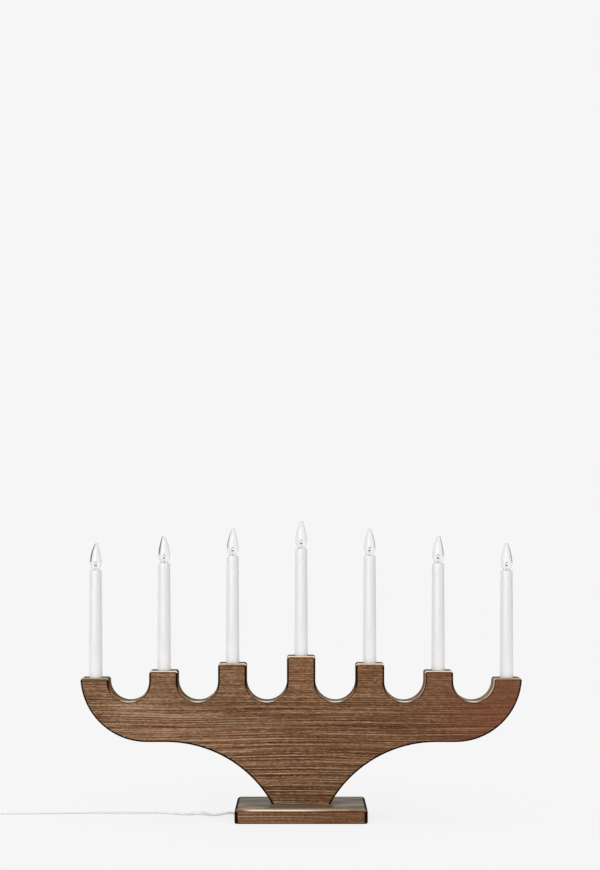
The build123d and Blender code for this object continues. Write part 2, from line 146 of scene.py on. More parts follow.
# Brown-stained pine, grain along X: long pale growth lines, fine fibres, specks, a painted highlight on the
# upper front arrises, and edges darkened partly by stain and partly as painted shade
pine = {
    "dark": (0.040, 0.0150, 0.0055),
    "mid": (0.172, 0.083, 0.0365),
    "pale": (0.47, 0.300, 0.185),
    "ringPale": (0.56, 0.38, 0.245),  # the growth lines
    "red": (0.185, 0.055, 0.026),
    "olive": (0.105, 0.078, 0.040),
    # painted reflection: the grey sheen put on the upper faces
    "topSheen": (0.185, 0.168, 0.112),  # the upper faces
    # painted highlight colour, for the upper front arrises and the lit notch walls
    "paintedHighlight": (0.95, 0.80, 0.62),
    # dark of stain gathered in the roundings, deepened as painted shade
    "stainShadeDark": (0.006, 0.003, 0.002),
    "pith": (0.0, 0.07, -0.16),  # where the rings are centred, metres
    "ringStep": 6.4,
    "ringBend": 8.0,
    "ringWaver": 1.2,
    "ringStops": [(0.0, 0.28), (0.05, 0.16), (0.30, 0.24), (0.60, 0.28), (0.80, 0.20), (0.86, 0.95),
                  (0.94, 1.0), (1.0, 0.35)],
    "fibreBend": 7.0,
    "fineLines": 2.3,  # fine lines to a growth ring
    "fineWaver": 0.5,
    "fineStops": [(0.0, 0.0), (0.5, 1.0), (1.0, 0.0)],
    "patchGain": 0.16,  # how far each pattern moves the tone
    "bandGain": 0.05,
    "fibreGain": 1.2,
    "speckGain": 0.85,
    "poreGain": 0.30,
    "lineGain": 0.14,
    "fineGain": 0.44,
    "streakGain": 0.09,
    "lineMean": 0.30,
    "postLines": 0.75,  # shares of each pattern that the posts lack
    "postFibres": 0.45,
    "postFine": 0.4,
    "endPlain": 0.65,  # share of the figure that end grain lacks
    "roundStops": [(0.0, 0.0), (0.04, 0.95), (0.55, 1.0), (0.989, 1.0), (0.9993, 0.0)],  # 1 on a rounding
    "cornerStops": [(0.05, 0.0), (0.30, 1.0), (0.94, 1.0), (1.0, 0.3)],
    "wallStops": [(0.0, 0.22), (0.15, 0.26), (0.35, 0.8), (0.70, 0.8), (0.92, 0.0)],
    "roughness": 0.50,
    "lacquer": 0.12,
}


def pineFinish(name, board):
    finish, flow, place = startFinish(name)
    facing = flow.node("ShaderNodeTexCoord", output="Normal")
    x, depth, height = [place.part(axis) for axis in range(3)]
    aside, front, upward = [facing.part(axis) for axis in range(3)]
    side, flat = abs(aside), abs(front)
    grain = flow.node("ShaderNodeMapping", None,
                      {"Vector": place, "Location": board["shift"], "Rotation": board["turn"]})
    bend = grain.noise((190, 60, 60), 1) - 0.5
    lift = flow.node("ShaderNodeCombineXYZ", None, {2: bend * (pine["fibreBend"] * mm)})
    grain = flow.vector("ADD", grain, lift)
    patch = grain.noise((120, 30, 30))
    band = grain.noise((70, 4.6, 4.6), 1)
    drift = grain.noise((240, 80, 80), 1) - 0.5
    waver = grain.noise((45, 9, 9)) - 0.5
    fibre = grain.noise((130, 1.1, 1.1), 0)
    speck = grain.noise((4.0, 0.9, 0.9), 1, 0.5)
    pore = grain.noise((5.5, 0.6, 0.6), 1, 0.5)
    streak = grain.noise((60, 7, 7), 1)

    # growth rings about a pith below the board, so the lines run round onto the edges
    across = flow.vector("MULTIPLY", flow.vector("SUBTRACT", grain, pine["pith"]), (0, 1 / mm, 1 / mm))
    radius = flow.vector("LENGTH", across, output="Value")
    ring = (radius + drift * pine["ringBend"] + waver * pine["ringWaver"]) / pine["ringStep"]
    line = ring.maths("FRACT", ring).ramp(pine["ringStops"])
    broken = grain.noise((60, 5, 5)).between(0.38, 0.62)
    fine = ring.maths("FRACT", ring * pine["fineLines"] + waver * pine["fineWaver"]).ramp(pine["fineStops"])
    fineHere = grain.noise((36, 5, 5), 1).between(0.30, 0.70)
    # the posts are mottled, with few lines
    upper = height.between(board["lineTop"] - 0.010, board["lineTop"] + 0.014)
    lines = 1 - upper * pine["postLines"]
    fibres = 1 - upper * pine["postFibres"]

    # tone: paler towards one end, patches, fibres and specks
    leftward = (1 - x.between(-0.22, 0.04)) * x.between(-0.256, -0.206) - x.between(0.02, 0.14) * 0.30
    tone = board["tone"] + leftward * board["paleEnd"] * fibres
    tone = tone + upper * (0.05 + x.between(-0.06, -0.01) * 0.045)
    tone = tone + (patch - 0.5) * pine["patchGain"] + (band - 0.5) * pine["bandGain"]
    plain = 1 - side.between(0.5, 0.95) * pine["endPlain"]
    tone = tone + (fibre - 0.5) * pine["fibreGain"] * fibres * plain * board["figure"]
    tone = tone + (speck - 0.5) * pine["speckGain"] * plain * (0.4 + 0.6 * board["figure"])
    tone = tone + (pore - 0.5) * plain * pine["poreGain"]
    tone = tone + (line - pine["lineMean"]) * pine["lineGain"] * lines
    fineTone = (fine - 0.5) * fineHere * pine["fineGain"] * plain
    tone = tone + fineTone * (1 - upper * pine["postFine"]) * board["figure"]
    # a dark streak below the middle post
    under = 1 - abs(height - board["lineTop"] + 0.001).between(0.003, 0.010)
    tone = tone - under * x.between(-0.10, -0.05) * (1 - x.between(0.03, 0.09)) * pine["streakGain"]
    colour = tone.between(0.0, 0.58).mix(pine["dark"], pine["mid"])
    colour = tone.between(0.44, 1.10).mix(colour, pine["pale"])
    colour = (line.between(0.45, 0.95) * broken * lines * 0.60).mix(colour, pine["ringPale"])
    dash = speck.between(0.50, 0.74) * fine.between(0.35, 0.95) * (0.35 + 0.65 * broken)
    colour = (dash * plain * board["figure"] * 0.40).mix(colour, pine["ringPale"])
    redder = grain.noise((90, 34, 34)).between(0.44, 0.66) * 0.14 + x.between(-0.15, 0.24) * 0.18
    redder = redder + x.between(0.10, 0.24) * board["redEnd"]
    colour = redder.mix(colour, pine["red"])
    colour = (grain.noise((70, 12, 12)).between(0.48, 0.66) * 0.20).mix(colour, pine["olive"])

    # upper faces: a painted grey reflection, in broad streaks
    above = upward.between(0.7, 0.95)
    colour = (above * (0.95 - streak.between(0.40, 0.62) * 0.75)).mix(colour, pine["topSheen"])

    # rounded edges: darkened, partly by stain gathered in them and partly as painted shade; a painted
    # highlight along the upper front arrises
    turning = flat.ramp(pine["roundStops"])
    highlightSide = upward.between(0.12, 0.40) * (0 - front).between(-0.05, 0.25)
    level = 1 - side.between(0.06, 0.34)  # not on the sides of a notch
    level = level * (0.84 - (0 - x).between(0.12, 0.16) * 0.20)
    highlightHere = height.between(board["highlightFrom"] - 0.004, board["highlightFrom"] + 0.004)
    highlightHere = flow.maths("MAXIMUM", highlightHere, 0.10 + level)
    start, full, fade, end = board["highlightSpan"]
    highlightHere = highlightHere * x.between(start, full) * (1 - x.between(fade, end) * 0.88)
    highlightHere = highlightHere * (1 - abs(x).between(0.205, 0.225) * board["endFade"])
    patchy = grain.noise((18, 4, 4)).between(0.15, 0.45)
    # painted highlight along the upper front arrises, fading towards the ends of the board
    arrisHighlight = flat.ramp(board["crest"]) * highlightSide * highlightHere * patchy
    # notch walls: painted light on those on the right that face left, and on the left painted shade on the
    # others, darker to the back
    litWall = (0 - aside).between(0.25, 0.7) * x.between(0.06, 0.26) * board["wallLightShade"]
    shadedWall = aside.between(0.25, 0.7) * (0 - x).between(0.02, 0.07) * board["wallLightShade"]
    # the plank's rounded corners: darkened partly as stain and partly as painted shade
    corner = side.ramp(pine["cornerStops"]) * (1 - flat.between(0.2, 0.6))
    stainAndShade = turning * (1 - highlightSide) * (0.96 - front.between(0.0, 0.5) * 0.40)
    stainAndShade = stainAndShade + (1 - flat.between(0.0, 0.12)) * 0.20
    stainAndShade = flow.maths("MAXIMUM", stainAndShade, corner * board["cornerDark"])
    # painted shade along the back of the upper faces, merged with the painted shade on the walls
    rearShade = upward.between(0.5, 0.9) * depth.between(-0.006, 0.008) * board["rearShadeLevel"]
    rearShade = rearShade * (1 - x.between(0.03, 0.08) * 0.7)
    rearShade = flow.maths("MAXIMUM", rearShade, shadedWall * depth.between(0.002, 0.011))
    stainAndShade = flow.maths("MAXIMUM", stainAndShade * (1 - litWall * 0.9), rearShade)
    colour = stainAndShade.mix(colour, pine["stainShadeDark"])
    # painted light on the notch walls that face the light
    colour = (litWall * flat.ramp(pine["wallStops"])).mix(colour, pine["paintedHighlight"])
    colour = (arrisHighlight * 0.92).mix(colour, pine["paintedHighlight"])

    relief = fibre * 0.6 + pore * 0.4 + line * 0.4
    lacquer = flat.between(0.8, 1.0) * pine["lacquer"]
    lacquer = lacquer + above * board["polish"] * (0.2 + streak.between(0.35, 0.65) * 1.5)
    endFinish(flow, {
        "Base Color": colour,
        "Roughness": pine["roughness"] + (fibre - 0.5) * 0.25 + stainAndShade * 0.25,
        "Specular IOR Level": 0.0,
        "Coat Weight": lacquer * (1 - stainAndShade),
        "Coat Roughness": 0.30,
        "Normal": relief.bump(0.14, 0.5),
    })
    return finish


# Plain finishes: base colour with a slow tint, roughness with a grain, and a fine relief
def mouldedFinish(name, colour, tint, rough, roughSpread, patchSize, grainSize, relief, metal=0.0):
    finish, flow, place = startFinish(name)
    cloud = place.noise(patchSize)
    grain = place.noise((grainSize, grainSize, grainSize))
    endFinish(flow, {
        "Base Color": cloud.between(0.30, 0.70).mix(colour, tint),
        "Metallic": metal,
        "Roughness": rough + (grain - 0.5) * roughSpread,
        "Normal": grain.bump(relief, 0.5),
    })
    return finish


# White candle plastic, painted a little paler at the foot as painted light against the shade the post casts
# there
candle = {
    "white": (0.82, 0.82, 0.81),
    "footPaintedLight": (0.95, 0.95, 0.945),
    "footTop": 0.1949,  # metres, for a candle at the middle of the stand
    "footSlope": 0.1068,  # the candles further out stand lower
    "fade": 0.045,
    "roughness": 0.15,
}


def candleFinish(name):
    finish, flow, place = startFinish(name)
    grain = place.noise((0.8, 0.8, 0.8))
    height = place.part(2) - candle["footTop"] + abs(place.part(0)) * candle["footSlope"]
    endFinish(flow, {
        # painted light: the foot paler to offset the shade from the post
        "Base Color": height.between(0.0, candle["fade"]).mix(candle["footPaintedLight"], candle["white"]),
        "Roughness": candle["roughness"] + (grain - 0.5) * 0.08,
        "Specular IOR Level": 0.55,
        "Normal": grain.bump(0.02, 0.5),
    })
    return finish


# Blown glass: clear across the middle, with painted shade where the wall is seen edge on, darkest on the side
# away from the middle of the stand
glass = {
    "clear": (0.975, 0.977, 0.971),
    # painted shade: greyer where the wall is seen edge on, near black on the side away from the middle
    "edge": (0.30, 0.305, 0.30),
    "outerShade": (0.015, 0.015, 0.015),  # on the side away from the middle of the stand
    "edgeFrom": 0.48,
    "reach": 0.10,  # metres from the middle at which the outer edge is fully dark
    "roughness": 0.012,
    "ior": 1.46,
}


def glassFinish(name, side):
    finish, flow, place = startFinish(name)
    grazing = flow.node("ShaderNodeLayerWeight", None, {"Blend": 0.5}, "Facing")
    ripple = place.noise((7, 7, 20), 0)
    facing = flow.node("ShaderNodeTexCoord", output="Normal")
    x = place.part(0)
    outward = (facing.part(0) * x * (side / glass["reach"])).between(0.45, 1.0)
    outward = outward * (1 - x.between(0.0, glass["reach"]) * 0.55)
    # painted shade on the edge-on wall, darker on the side away from the middle of the stand
    outer = outward * (facing.part(2) * side).between(-0.08, 0.16) * grazing.between(0.20, 0.58)
    tint = grazing.between(glass["edgeFrom"], 1.0).mix(glass["clear"], glass["edge"])
    endFinish(flow, {
        "Base Color": outer.mix(tint, glass["outerShade"]),
        "Roughness": glass["roughness"] + (ripple - 0.5) * 0.015,
        "Transmission Weight": 1.0,
        "IOR": glass["ior"],
        "Normal": ripple.bump(0.02, 0.2),
    })
    return finish


# Where a rounding carries the painted highlight, by how far it faces the front
wideCrest = [(0.08, 0.0), (0.30, 1.0), (0.72, 1.0), (0.88, 0.0)]
thinCrest = [(0.66, 0.0), (0.82, 1.0), (0.90, 1.0), (0.955, 0.0)]
# What differs from board to board, with places in metres
strip = {
    "shift": (1.10, 0, 0.02),
    "turn": (0, 0, 0),
    "tone": 0.440,
    "paleEnd": 0.0,
    "redEnd": 0.0,
    "lineTop": 0.5,
    "highlightFrom": 0.5,
    "highlightSpan": (-1.0, -0.9, 0.9, 1.0),
    "crest": wideCrest,
    "polish": 0.30,
    "figure": 1.0,
    "cornerDark": 0.0,
    "rearShadeLevel": 0.0,
    "endFade": 0.0,
    "wallLightShade": 0.0,
}
uprightStrip = {**strip, "shift": (0.75, 0, 0.30), "turn": (0, radians(90), 0)}
archBoard = {**strip, "shift": (0, 0, 0), "paleEnd": 0.19, "redEnd": 0.36, "lineTop": 0.135,
             "highlightFrom": 0.166, "rearShadeLevel": 0.88, "endFade": 0.6, "wallLightShade": 0.8}
plank = {**strip, "shift": (0.40, 0.02, 0.055), "tone": 0.51, "paleEnd": 0.25, "highlightFrom": 0.0,
         "highlightSpan": (-0.072, -0.056, -0.005, 0.038), "crest": thinCrest, "polish": 0.50, "figure": 0.5,
         "cornerDark": 0.9}
boards = {"boardPine": archBoard, "plankPine": plank, "stripPine": strip, "stripPineUp": uprightStrip}
# Colour, tint, roughness, its spread, patch size, grain size, relief, and how far it is metal
plainFinishes = {
    "holderPlastic": ((0.74, 0.74, 0.72), (0.68, 0.68, 0.66), 0.45, 0.15, (4, 4, 4), 0.6, 0.03),
    "capMetal": ((0.78, 0.76, 0.72), (0.66, 0.63, 0.58), 0.26, 0.14, (3, 3, 3), 0.4, 0.02, 1.0),
    "solder": ((0.55, 0.55, 0.56), (0.40, 0.40, 0.42), 0.38, 0.2, (1.5, 1.5, 1.5), 0.5, 0.05, 1.0),
    "capGlass": ((0.010, 0.010, 0.014), (0.02, 0.02, 0.03), 0.12, 0.06, (2, 2, 2), 0.6, 0.02),
    "leadWire": ((0.52, 0.51, 0.49), (0.44, 0.43, 0.41), 0.34, 0.2, (1, 1, 1), 0.3, 0.02, 1.0),
    "filamentWire": ((0.055, 0.053, 0.050), (0.035, 0.035, 0.035), 0.50, 0.2, (1, 1, 1), 0.3, 0.02, 0.8),
    "stemGlass": ((0.80, 0.80, 0.79), (0.74, 0.74, 0.73), 0.22, 0.1, (2, 2, 3), 0.6, 0.02),
    "mountBead": ((0.07, 0.075, 0.07), (0.13, 0.13, 0.12), 0.18, 0.1, (1.5, 1.5, 1.5), 0.5, 0.02),
    "brassShell": ((0.80, 0.60, 0.28), (0.66, 0.46, 0.20), 0.30, 0.16, (4, 4, 4), 0.5, 0.03, 1.0),
    "brassSpring": ((0.72, 0.50, 0.26), (0.62, 0.40, 0.20), 0.34, 0.16, (3, 3, 3), 0.5, 0.03, 1.0),
    "screwSteel": ((0.74, 0.70, 0.55), (0.60, 0.58, 0.50), 0.30, 0.18, (2, 2, 2), 0.5, 0.03, 1.0),
    "wirePvc": ((0.62, 0.61, 0.57), (0.55, 0.54, 0.50), 0.42, 0.1, (12, 12, 12), 0.7, 0.02),
    "cordPvc": ((0.86, 0.86, 0.85), (0.82, 0.82, 0.80), 0.38, 0.12, (30, 30, 30), 1.2, 0.03),
    "bushPlastic": ((0.075, 0.048, 0.032), (0.06, 0.038, 0.026), 0.45, 0.12, (5, 5, 5), 0.6, 0.03),
    "plugPvc": ((0.76, 0.76, 0.74), (0.71, 0.71, 0.69), 0.42, 0.14, (10, 10, 10), 0.6, 0.04),
    "platedPins": ((0.78, 0.77, 0.74), (0.70, 0.68, 0.64), 0.22, 0.12, (2, 2, 8), 0.5, 0.02, 1.0),
    "tiePlastic": ((0.70, 0.70, 0.69), (0.64, 0.64, 0.62), 0.40, 0.12, (6, 6, 6), 0.6, 0.03),
}
finishes = {name: pineFinish(name, board) for name, board in boards.items()}
finishes["candlePlastic"] = candleFinish("candlePlastic")
finishes.update({name: mouldedFinish(name, *look) for name, look in plainFinishes.items()})
finishes["clearGlass"] = glassFinish("clearGlass", 1)
finishes["innerGlass"] = glassFinish("innerGlass", -1)
print("finishes made,", len(finishes))


def linked(name, data):
    made = bpy.data.objects.new(name, data)
    scene.collection.objects.link(made)
    return made


# A finished piece: bmesh moved to its place, then an object at the origin, riding on its body
def keepPiece(bm, name, finishNames, body, sharp, place=(0, 0, 0)):
    bmesh.ops.translate(bm, verts=bm.verts, vec=place)
    bmesh.ops.remove_doubles(bm, verts=bm.verts, dist=weld)
    bmesh.ops.recalc_face_normals(bm, faces=bm.faces)
    mesh = bpy.data.meshes.new(name)
    bm.to_mesh(mesh)
    bm.free()
    for finishName in finishNames:
        mesh.materials.append(finishes[finishName])
    mesh.shade_smooth()
    mesh.set_sharp_from_angle(angle=radians(sharp))
    piece = linked(name, mesh)
    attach(piece, body)
    return piece


def only(kind, parts):
    return [part for part in parts if isinstance(part, kind)]


def spinProfile(bm, profile, steps, closed=False, place=(0, 0, 0), turn=None, finish=0):
    # profile is radius and height in millimetres, spun about Z and then put in place
    verts = [bm.verts.new((r * mm, 0, z * mm)) for r, z in profile]
    ends = verts[1:] + verts[:1] if closed else verts[1:]
    edges = [bm.edges.new(pair) for pair in zip(verts, ends)]
    before = set(bm.faces)
    bmesh.ops.spin(bm, geom=verts + edges, axis=(0, 0, 1), cent=(0, 0, 0), angle=2 * pi, steps=steps,
                   use_merge=True)
    made = [face for face in bm.faces if face not in before]
    for face in made:
        face.material_index = finish
    points = list({vert for face in made for vert in face.verts})
    bmesh.ops.remove_doubles(bm, verts=points, dist=weld)
    made = [face for face in bm.faces if face not in before]
    points = list({vert for face in made for vert in face.verts})
    if turn is not None:
        bmesh.ops.transform(bm, matrix=turn, verts=points)
    bmesh.ops.translate(bm, verts=points, vec=place)


def arcProfile(centre, radius, start, end, steps):
    # points of a rounded corner in a profile, angles in degrees
    angles = [radians(start + (end - start) * step / steps) for step in range(steps + 1)]
    return [(centre[0] + radius * cos(angle), centre[1] + radius * sin(angle)) for angle in angles]


# A smooth line that follows control points in millimetres, for strands and flex
def nurbsLine(name, points, tilts, resolution):
    curve = bpy.data.curves.new(name, "CURVE")
    curve.dimensions = "3D"
    curve.resolution_u = resolution
    curve.twist_mode = "Z_UP"
    spline = curve.splines.new("NURBS")
    spline.points.add(len(points) - 1)
    for index, point in enumerate(points):
        spline.points[index].co = (point[0] * mm, point[1] * mm, point[2] * mm, 1.0)
        spline.points[index].tilt = tilts[index] if tilts else 0.0
    spline.order_u = 3
    spline.use_endpoint_u = True
    return linked(name, curve)


def lineMesh(line):
    bpy.context.view_layer.update()
    return bpy.data.meshes.new_from_object(line.evaluated_get(bpy.context.evaluated_depsgraph_get()))


def dropLine(line):
    curve = line.data
    bpy.data.objects.remove(line)
    bpy.data.curves.remove(curve)


def addStrand(bm, points, radius, resolution, sides=3, finish=0):
    line = nurbsLine("strandLine", points, None, resolution)
    line.data.bevel_depth = radius * mm
    line.data.bevel_resolution = sides
    line.data.use_fill_caps = True
    line.data.twist_mode = "MINIMUM"
    mesh = lineMesh(line)
    before = len(bm.faces)
    bm.from_mesh(mesh)
    bm.faces.ensure_lookup_table()
    for face in bm.faces[before:]:
        face.material_index = finish
    bpy.data.meshes.remove(mesh)
    dropLine(line)


# Flat twin flex: two round cores side by side, lying flat, with one slow twist near the stand
flex = {
    "core": 1.25,
    "coreSpread": 1.22,
    "coreSteps": 10,
    "opening": 48,  # degrees of a core, to each side of the waist, that the other core covers
    "route": [(-79.5, 5.25, 3.5), (-86.0, 5.25, 4.9), (-95.0, 5.4, 3.4), (-104.0, 3.6, 1.8),
              (-112.0, 7.4, 2.7), (-120.0, 13.4, 2.9), (-129.0, 17.4, 2.3), (-138.0, 11.8, 1.4),
              (-153.0, 19.0, 1.4), (-171.0, 26.4, 1.4), (-194.0, 25.2, 1.4), (-225.0, 25.4, 1.4),
              (-262.0, 26.0, 1.4), (-304.0, 23.4, 1.4), (-345.0, 20.0, 1.4), (-380.0, 18.6, 2.1),
              (-410.0, 18.6, 2.1)],
    "twists": [0, 0, 0, 0, 40, 90, 140] + [180] * 10,  # degrees, a half turn
    "innerRoute": [(-79.5, 5.25, 3.5), (-40, 5.25, 3.5), (-14, 5.25, 3.6), (-2, 5.25, 5.0), (0, 5.25, 16),
                   (0, 5.25, 40), (0, 5.25, 122)],
    "coilCentre": (-413.6, 51.85),
    "innerRadius": 18.4,
    "turnStep": 5.4,
    "turnsIn": 2.75,
    "climb": 0.5,
    "turns": 7.0,
    "perTurn": 16,
    "low": 2.1,
    "high": 4.9,
    "plugHeight": 7.0,
    "dip": 0.8,
    "dipDrop": 0.6,
    "cutIn": 0.75,  # how far the spline cuts inside the coil's points
    "plugStart": (-417.2, 13.2, 7.0),
    "length": 1.51,
    "width": 0.005,
}


def coilPoint(turns):
    past = turns - flex["turnsIn"]
    climb = min(max(past / flex["climb"], 0.0), 1.0)
    if past <= 0:
        radius = flex["innerRadius"] - flex["turnStep"] * past
    elif past < flex["climb"]:
        radius = flex["innerRadius"] - flex["turnStep"] * past * (1 - climb)
    else:
        radius = flex["innerRadius"] + flex["turnStep"] * (past - flex["climb"])
    radius /= cos(pi / flex["perTurn"]) ** flex["cutIn"]
    height = flex["low"] + (flex["high"] - flex["low"]) * (1 - cos(pi * climb)) / 2
    dip = min(max((turns - flex["turns"]) / flex["dip"] + 1, 0.0), 1.0)
    floorHeight = flex["low"] - flex["dipDrop"]
    if dip > 0.5:
        height = floorHeight + (flex["plugHeight"] - floorHeight) * (1 + cos(2 * pi * dip)) / 2
    elif dip > 0:
        height = floorHeight + (flex["high"] - floorHeight) * (1 + cos(2 * pi * dip)) / 2
    angle = -pi / 2 - 2 * pi * turns
    return (flex["coilCentre"][0] + radius * cos(angle), flex["coilCentre"][1] + radius * sin(angle), height)


def twinSection():
    # outline of the two cores, each most of a circle, meeting at a shallow waist
    opening = flex["opening"]
    sweep = 360 - 2 * opening
    points = []
    for side, start in ((1, opening - 180), (-1, opening)):
        for step in range(flex["coreSteps"] + 1):
            angle = radians(start + sweep * step / flex["coreSteps"])
            points.append((side * flex["coreSpread"] + flex["core"] * cos(angle), flex["core"] * sin(angle)))
    return points


def flatFlex(name, points, tilts, resolution=6):
    line = nurbsLine(name + "Line", points, tilts, resolution)
    bare = lineMesh(line)
    path = [vert.co.copy() for vert in bare.vertices]
    section = bpy.data.curves.new(name + "Section", "CURVE")
    section.dimensions = "2D"
    outline = section.splines.new("POLY")
    corners = twinSection()
    outline.points.add(len(corners) - 1)
    for index, (x, y) in enumerate(corners):
        outline.points[index].co = (x * mm, y * mm, 0, 1)
    outline.use_cyclic_u = True
    sectionPiece = linked(name + "Section", section)
    line.data.bevel_mode = "OBJECT"
    line.data.bevel_object = sectionPiece
    line.data.use_fill_caps = True
    mesh = lineMesh(line)
    bm = bmesh.new()
    bm.from_mesh(mesh)
    bpy.data.meshes.remove(mesh)
    bpy.data.meshes.remove(bare)
    dropLine(line)
    dropLine(sectionPiece)
    return bm, path


coilMarks = [mark / flex["perTurn"] for mark in range(1, round(flex["turns"] * flex["perTurn"]) + 1)]
cordPoints = flex["route"] + [coilPoint(mark) for mark in coilMarks] + [flex["plugStart"]]
cordTilts = [radians(twist) for twist in flex["twists"]] + [pi] * (len(coilMarks) + 1)
bm, cordPath = flatFlex("mains_flex", cordPoints, cordTilts)
mainsFlex = keepPiece(bm, "mains_flex", ["cordPvc"], "stand", 50)
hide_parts("power_cord", "cord_coil")

bm = flatFlex("inner_flex", flex["innerRoute"], [0.0] * len(flex["innerRoute"]), 12)[0]
innerFlex = keepPiece(bm, "inner_flex", ["cordPvc"], "stand", 50)
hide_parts("inner_cord")
print("cord made,", len(cordPath), "points along it")


# Flat two-pin plug at the far end: body with a parting line, ribbed strain relief, sleeved pins
plug = {
    "sleeve": 30.0,
    "length": 36.0,
    "width": 35.3,
    "thickness": 14.0,
    "neckWidth": 17.0,
    "nose": 14.0,
    "corner": 3.2,
    "seam": 0.25,
    "ribs": 6,
    "ribStep": 4.2,
    "pinLength": 19.0,
    "pinSpread": 18.6,
    "pinSleeve": 10.0,
}


def makePlug():
    bm = bmesh.new()
    root, face = plug["sleeve"], plug["sleeve"] + plug["length"]
    shoulder, sleeveEnd, tip = root + plug["nose"], plug["pinSleeve"], plug["pinLength"]
    half, neck = plug["width"] / 2, plug["neckWidth"] / 2
    outline = [(root, -neck), (shoulder, -half), (face, -half), (face, half), (shoulder, half), (root, neck)]
    verts = [bm.verts.new((-x * mm, y * mm, -plug["thickness"] / 2 * mm)) for x, y in outline]
    bottom = bm.faces.new(verts)
    raised = bmesh.ops.extrude_face_region(bm, geom=[bottom])
    top = only(bmesh.types.BMVert, raised["geom"])
    bmesh.ops.translate(bm, verts=top, vec=(0, 0, plug["thickness"] * mm))
    bmesh.ops.bevel(bm, geom=bm.edges[:], offset=plug["corner"] * mm, segments=5, profile=0.5, affect="EDGES",
                    material=-1, clamp_overlap=True)
    # parting line of the mould, round the body's middle
    cut = bmesh.ops.bisect_plane(bm, geom=bm.verts[:] + bm.edges[:] + bm.faces[:], plane_co=(0, 0, 0),
                                 plane_no=(0, 0, 1))
    seam = only(bmesh.types.BMEdge, cut["geom_cut"])
    bmesh.ops.bevel(bm, geom=seam, offset=plug["seam"] * mm, segments=2, profile=0.5, affect="EDGES",
                    material=-1)
    # strain relief: tapered, with ribs
    profile = [(0.0, -0.4), (2.2, -0.4)]
    for rib in range(plug["ribs"]):
        low = 0.4 + rib * plug["ribStep"]
        reach = 2.95 + 1.65 * low / plug["sleeve"]
        profile += [(reach - 0.5, low), (reach, low + 0.35), (reach, low + 2.5), (reach - 0.5, low + 2.85),
                    (reach - 0.75, low + 3.2)]
    profile += [(4.6, 26.2), (4.9, 30.5), (5.4, 32.5), (0.0, 32.5)]
    lay = Matrix.Rotation(radians(-90), 4, "Y")
    spinProfile(bm, profile, 32, turn=lay)
    # pins, with insulating sleeves at their roots and a shallow collar round each
    collar = [(1.6, -2.0), (3.1, -2.0), (3.1, 0.25), (2.8, 0.5), (2.0, 0.5), (1.96, 0.8),
              (1.96, sleeveEnd - 0.3), (1.8, sleeveEnd), (1.55, sleeveEnd), (1.5, -2.0)]
    pin = [(0.0, -5.0), (1.5, -5.0), (1.5, sleeveEnd - 0.1), (1.9, sleeveEnd + 0.15), (2.0, sleeveEnd + 0.4)]
    pin += arcProfile((0.3, tip - 1.7), 1.7, 0, 90, 6) + [(0.0, tip)]
    pinShape = bmesh.new()
    for side in (-1, 1):
        seat = (-face * mm, side * plug["pinSpread"] / 2 * mm, 0)
        spinProfile(bm, collar, 28, closed=True, place=seat, turn=lay)
        spinProfile(pinShape, pin, 28, place=seat, turn=lay)
    start = [v * mm for v in flex["plugStart"]]
    piece = keepPiece(bm, "plug", ["plugPvc"], "stand", 35, start)
    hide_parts("plug_body")
    pins = keepPiece(pinShape, "plug_tips", ["platedPins"], "stand", 40, start)
    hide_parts("plug_pins")
    return piece, pins


plugPiece, pinPiece = makePlug()

# Tie round the coil at its back: a flat strap with rounded corners
tie = {"width": 7.6, "thickness": 0.55, "corner": 2.2, "near": 66.6, "far": 88.6, "low": 0.05, "high": 7.0}


def makeTie():
    bm = bmesh.new()
    x = flex["coilCentre"][0]
    near, far, low, high = tie["near"], tie["far"], tie["low"], tie["high"]
    corners = [(near, low), (far, low), (far, high), (near, high)]
    verts = [bm.verts.new(((x - tie["width"] / 2) * mm, y * mm, z * mm)) for y, z in corners]
    for pair in zip(verts, verts[1:] + verts[:1]):
        bm.edges.new(pair)
    bmesh.ops.bevel(bm, geom=verts, offset=tie["corner"] * mm, segments=6, profile=0.5, affect="VERTICES",
                    material=-1)
    strap = bmesh.ops.extrude_edge_only(bm, edges=bm.edges[:])
    bmesh.ops.translate(bm, verts=only(bmesh.types.BMVert, strap["geom"]), vec=(tie["width"] * mm, 0, 0))
    bmesh.ops.recalc_face_normals(bm, faces=bm.faces)
    bmesh.ops.solidify(bm, geom=bm.faces[:], thickness=tie["thickness"] * mm)
    piece = keepPiece(bm, "coil_tie", ["tiePlastic"], "stand", 40)
    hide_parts("cord_tie")
    return piece


tiePiece = makeTie()
print("plug and tie made")


# Candle sleeves: smooth tapered tubes with a soft rim
sleeve = {
    "length": 128.7,
    "footRadius": 8.15,
    "topRadius": 7.25,
    "wall": 1.2,
    "rim": 0.35,
    "spigotRadius": 6.5,
    "spigot": 18.0,
    "bore": 4.75,
    "seatDepth": 15.5,
    "steps": 72,
}


def lampPlace(number):
    # the middle of a sleeve and the height of its rim, metres
    low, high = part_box(f"candle_sleeve_{number}")
    return (low.x + high.x) / 2, high.z


def makeSleeve(number, x, rim):
    top, foot, lip = sleeve["topRadius"], sleeve["footRadius"], sleeve["rim"]
    seat, spigot, bore = top - sleeve["wall"], sleeve["spigotRadius"], sleeve["bore"]
    base = -sleeve["length"]
    end = base - sleeve["spigot"]
    profile = arcProfile((seat + lip, -lip), lip, 180, 90, 4)
    profile += arcProfile((top - lip, -lip), lip, 90, 0, 4)
    profile += [(top + (foot - top) * share, base * share) for share in (0.05, 0.35, 0.65, 0.992)]
    profile += [(foot - 0.45, base), (spigot, base), (spigot, end + 0.6), (spigot - 0.6, end), (bore, end),
                (bore, -sleeve["seatDepth"]), (seat, -sleeve["seatDepth"])]
    bm = bmesh.new()
    spinProfile(bm, profile, sleeve["steps"], closed=True, place=(x, 0, rim))
    piece = keepPiece(bm, f"candle_tube_{number}", ["candlePlastic"], "stand", 40)
    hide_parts(f"candle_sleeve_{number}")


